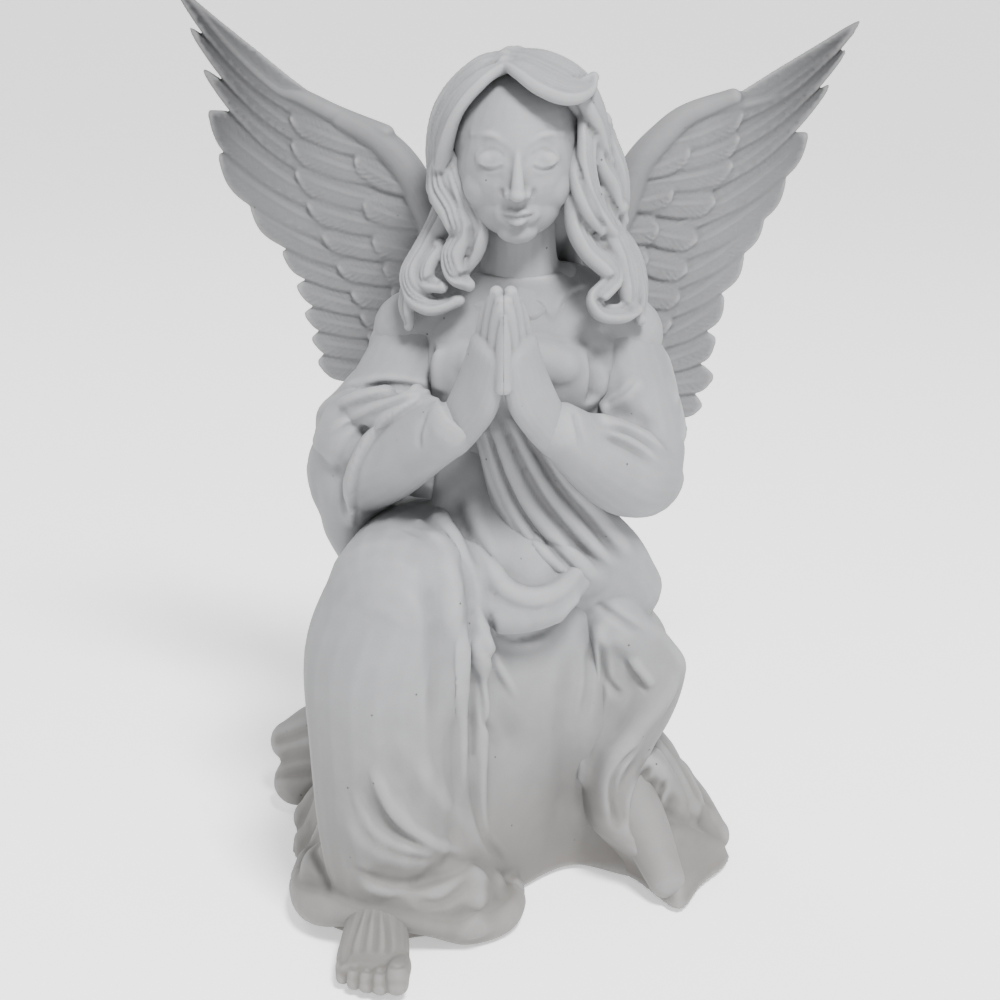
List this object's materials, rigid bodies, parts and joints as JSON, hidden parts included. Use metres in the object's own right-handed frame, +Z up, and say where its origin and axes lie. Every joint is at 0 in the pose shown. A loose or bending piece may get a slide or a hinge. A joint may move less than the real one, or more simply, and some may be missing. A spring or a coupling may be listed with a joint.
{
  "type": "angel figurine",
  "caption": "Kneeling, praying winged angel figurine in matt off-white cast resin, with long hair, draped robe and raised feathered wings.",
  "frame": {"origin": "on the surface that the figurine stands on, below the middle of its overall box", "axes": "+Z up; the angel faces -Y, and her left side is at +X"},
  "size_m": [0.319, 0.256, 0.4175],
  "materials": {
    "resin": "matt, mineral-filled cast resin with a thin matt off-white coat",
    "backing": "matt grey resin board",
    "steel": "plain round bar",
    "rubber": "moulded",
    "felt": "grey self-adhesive felt"
  },
  "bodies": {
    "root": {"skirt_casting": "resin", "torso_casting": "resin", "head_casting": "resin", "right_arm_casting": "resin", "left_arm_casting": "resin", "right_hand_casting": "resin", "left_hand_casting": "resin", "mantle_casting": "resin", "right_foot_casting": "resin", "right_wing_casting": "resin", "left_wing_casting": "resin", "base_plate": "backing", "drain_plug": "rubber", "felt_pads": "felt", "waist_dowels": "steel", "neck_dowel": "steel", "right_wing_dowels": "steel", "left_wing_dowels": "steel", "right_shoulder_dowel": "steel", "left_shoulder_dowel": "steel", "right_wrist_dowel": "steel", "left_wrist_dowel": "steel", "foot_dowel": "steel"}
  },
  "joints": []
}
